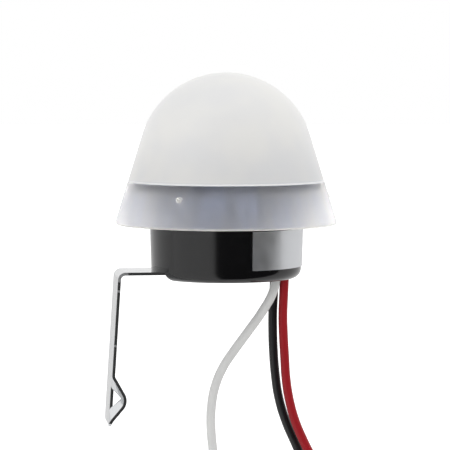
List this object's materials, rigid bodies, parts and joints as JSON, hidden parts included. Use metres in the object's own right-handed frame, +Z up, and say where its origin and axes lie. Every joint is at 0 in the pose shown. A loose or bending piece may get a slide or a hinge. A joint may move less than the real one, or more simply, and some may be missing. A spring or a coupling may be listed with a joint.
{
  "type": "photocell switch",
  "caption": "Dusk-to-dawn photocell switch: frosted dome with flared skirt over a black base, bent spring-steel clip with lanced V bump, colour-coded leads hanging below.",
  "frame": {"origin": "on the outer face of the clip's leg, in the middle of its flat part", "axes": "+Z up along the dome's axis, -X from the dome towards the clip, +Y across the clip"},
  "size_m": [0.0637, 0.06, 0.1631],
  "materials": {
    "frosted_plastic": "frosted translucent moulding, half gloss",
    "black_plastic": "glossy black moulding",
    "label_foil": "bare silver sticker, satin",
    "plated_steel": "bright plated spring steel",
    "screw_steel": "zinc plated",
    "seal_rubber": "matt black rubber",
    "board_laminate": "phenolic paper laminate",
    "relay_blue": "moulded relay case",
    "film_yellow": "capacitor box",
    "can_sleeve": "shrunk sleeve",
    "black_epoxy": "moulded epoxy",
    "zener_glass": "orange glass",
    "resistor_coat": "lacquer",
    "sensor_ceramic": "coated sensing face",
    "tinned_wire": "tinned",
    "white_sleeve": "soft sleeve",
    "black_insulation": "soft vinyl, satin",
    "red_insulation": "soft vinyl, satin",
    "white_insulation": "soft vinyl, satin"
  },
  "bodies": {
    "root": {"dome_cover": "frosted_plastic", "base_housing": "black_plastic", "side_label": "label_foil", "mounting_bracket": "plated_steel", "bracket_screws": "screw_steel", "lead_seal": "seal_rubber", "circuit_board": "board_laminate", "board_screws": "screw_steel", "relay": "relay_blue", "film_capacitor": "film_yellow", "electrolytic_capacitor": "can_sleeve", "transistor": "black_epoxy", "rectifier_diodes": "black_epoxy", "zener_diode": "zener_glass", "resistors": "resistor_coat", "light_sensor": "sensor_ceramic", "sensor_legs": "tinned_wire", "sensor_sleeves": "white_sleeve", "solder_joints": "tinned_wire", "black_lead": "black_insulation", "red_lead": "red_insulation", "white_lead": "white_insulation", "black_lead_core": "tinned_wire", "red_lead_core": "tinned_wire", "white_lead_core": "tinned_wire"}
  },
  "joints": []
}
